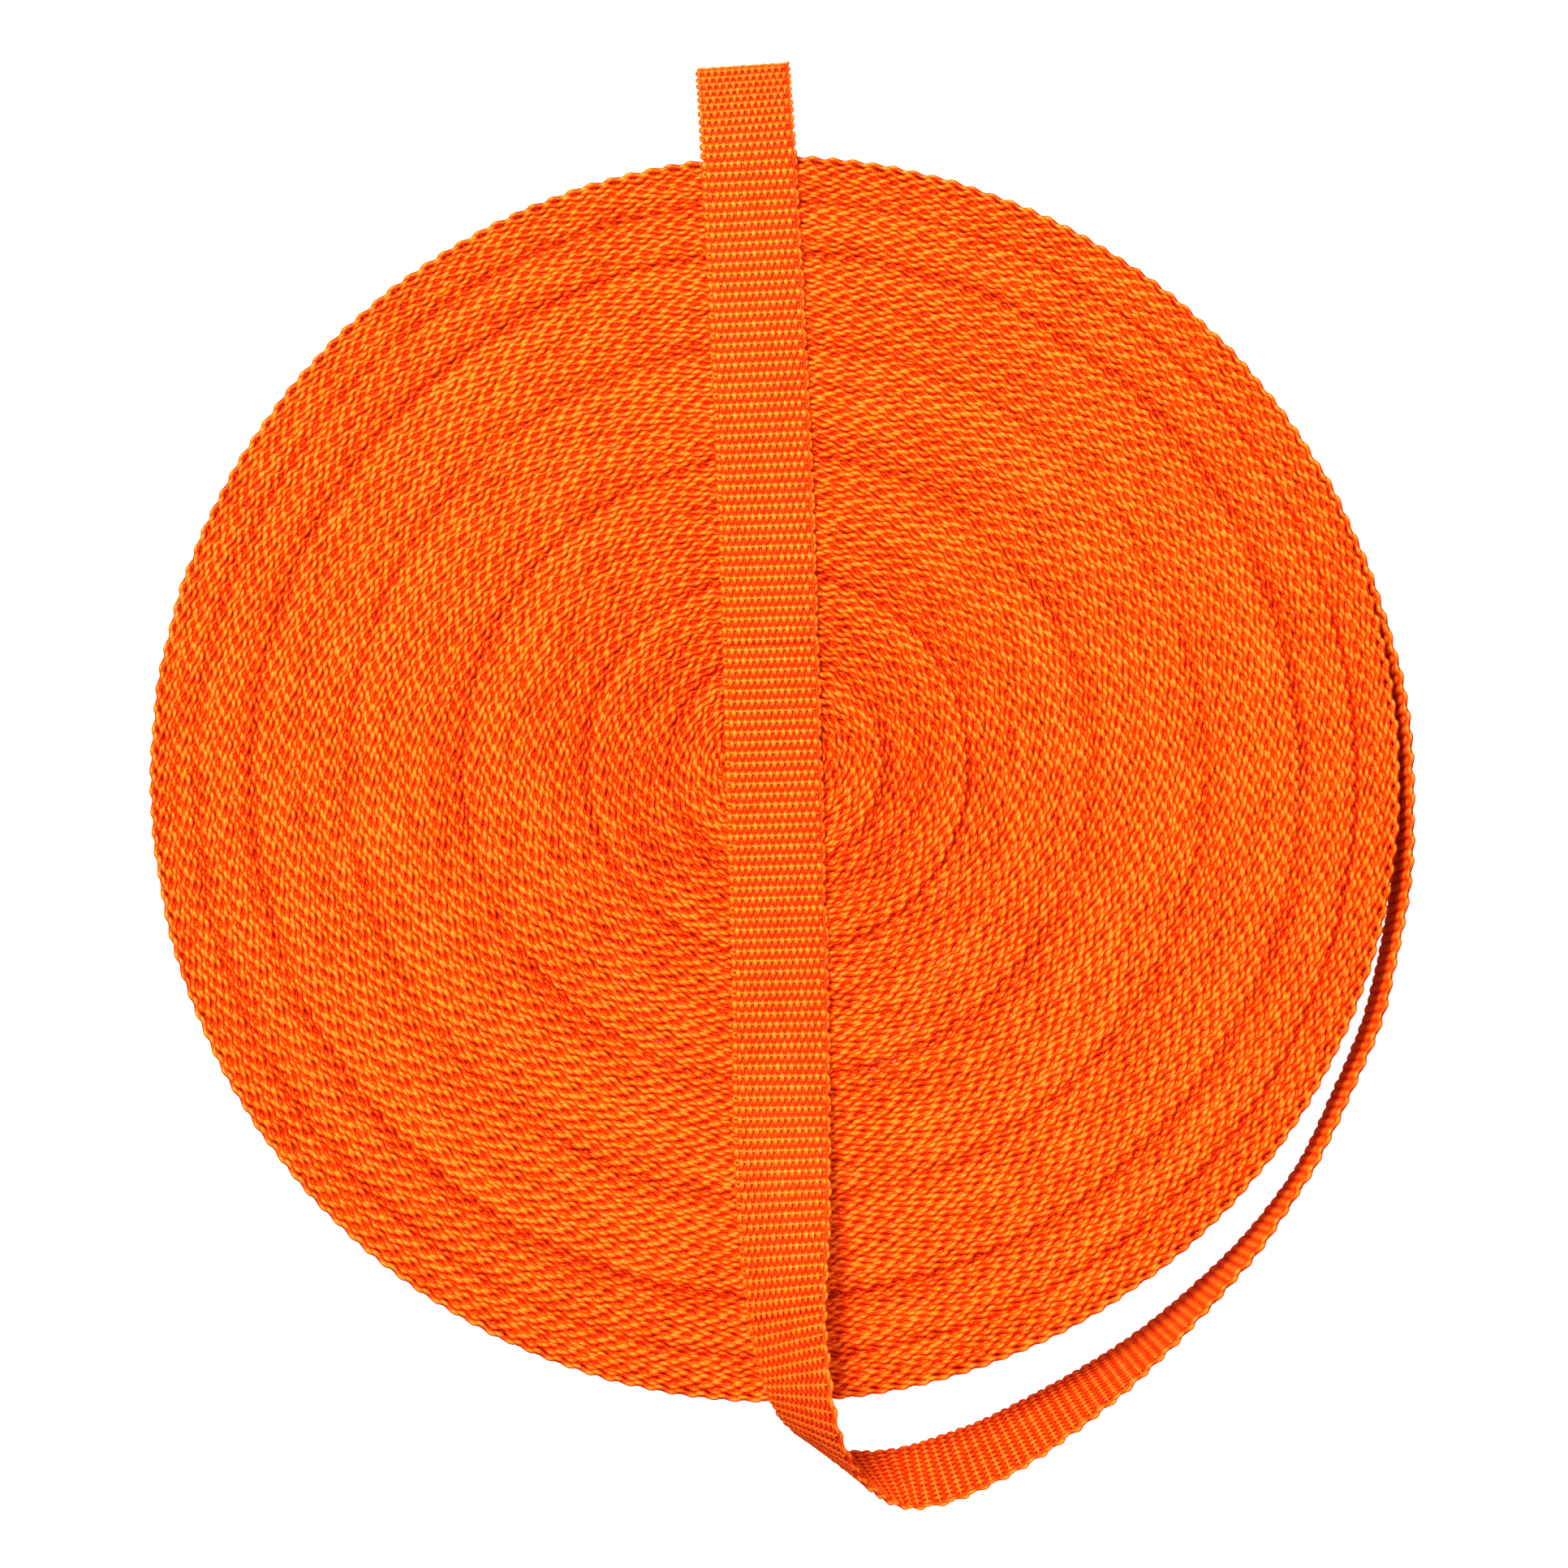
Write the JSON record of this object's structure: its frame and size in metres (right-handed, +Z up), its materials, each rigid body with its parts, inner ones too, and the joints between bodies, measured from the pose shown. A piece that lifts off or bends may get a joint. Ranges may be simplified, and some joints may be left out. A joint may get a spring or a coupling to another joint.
{
  "type": "training leash webbing roll",
  "caption": "Flat woven webbing long line wound into a tight flat spiral roll, with its free tail looped round the side, folded over the rim and lying across the top face.",
  "frame": {"origin": "centre of the roll on the surface it rests on", "axes": "+Z up, out of the roll's face; +Y along the tail that lies across the face, towards its free end; +X towards the side where the tail leaves the roll"},
  "size_m": [0.2627, 0.3061, 0.0364],
  "materials": {
    "webbing_roll": "knitted selvedge of smooth shiny yarn",
    "webbing_tail": "close warp-faced weave of smooth shiny yarn"
  },
  "bodies": {
    "roll": {"core_turns": "webbing_roll", "inner_turns": "webbing_roll", "low_turns": "webbing_roll", "middle_turns": "webbing_roll", "wide_turns": "webbing_roll", "groove_turns": "webbing_roll", "rim_turns": "webbing_roll", "outer_turn": "webbing_roll", "standing_tail": "webbing_tail", "leaning_tail": "webbing_tail", "fold_over": "webbing_tail", "raised_tail": "webbing_tail"},
    "tail": {"lying_tail": "webbing_tail"},
    "end": {"free_end": "webbing_tail"}
  },
  "joints": [
    {"name": "tail_lift", "type": "hinge", "parent": "roll", "child": "tail", "pos_m": [0.00069, -0.05698, 0.022], "axis": [0.9997, 0.0167, 0.0174], "range_deg": [0, 90]},
    {"name": "end_flex", "type": "hinge", "parent": "tail", "child": "end", "pos_m": [-0.00621, 0.1306, 0.0218], "axis": [0.9982, 0.0598, 0], "range_deg": [0, 60]}
  ]
}
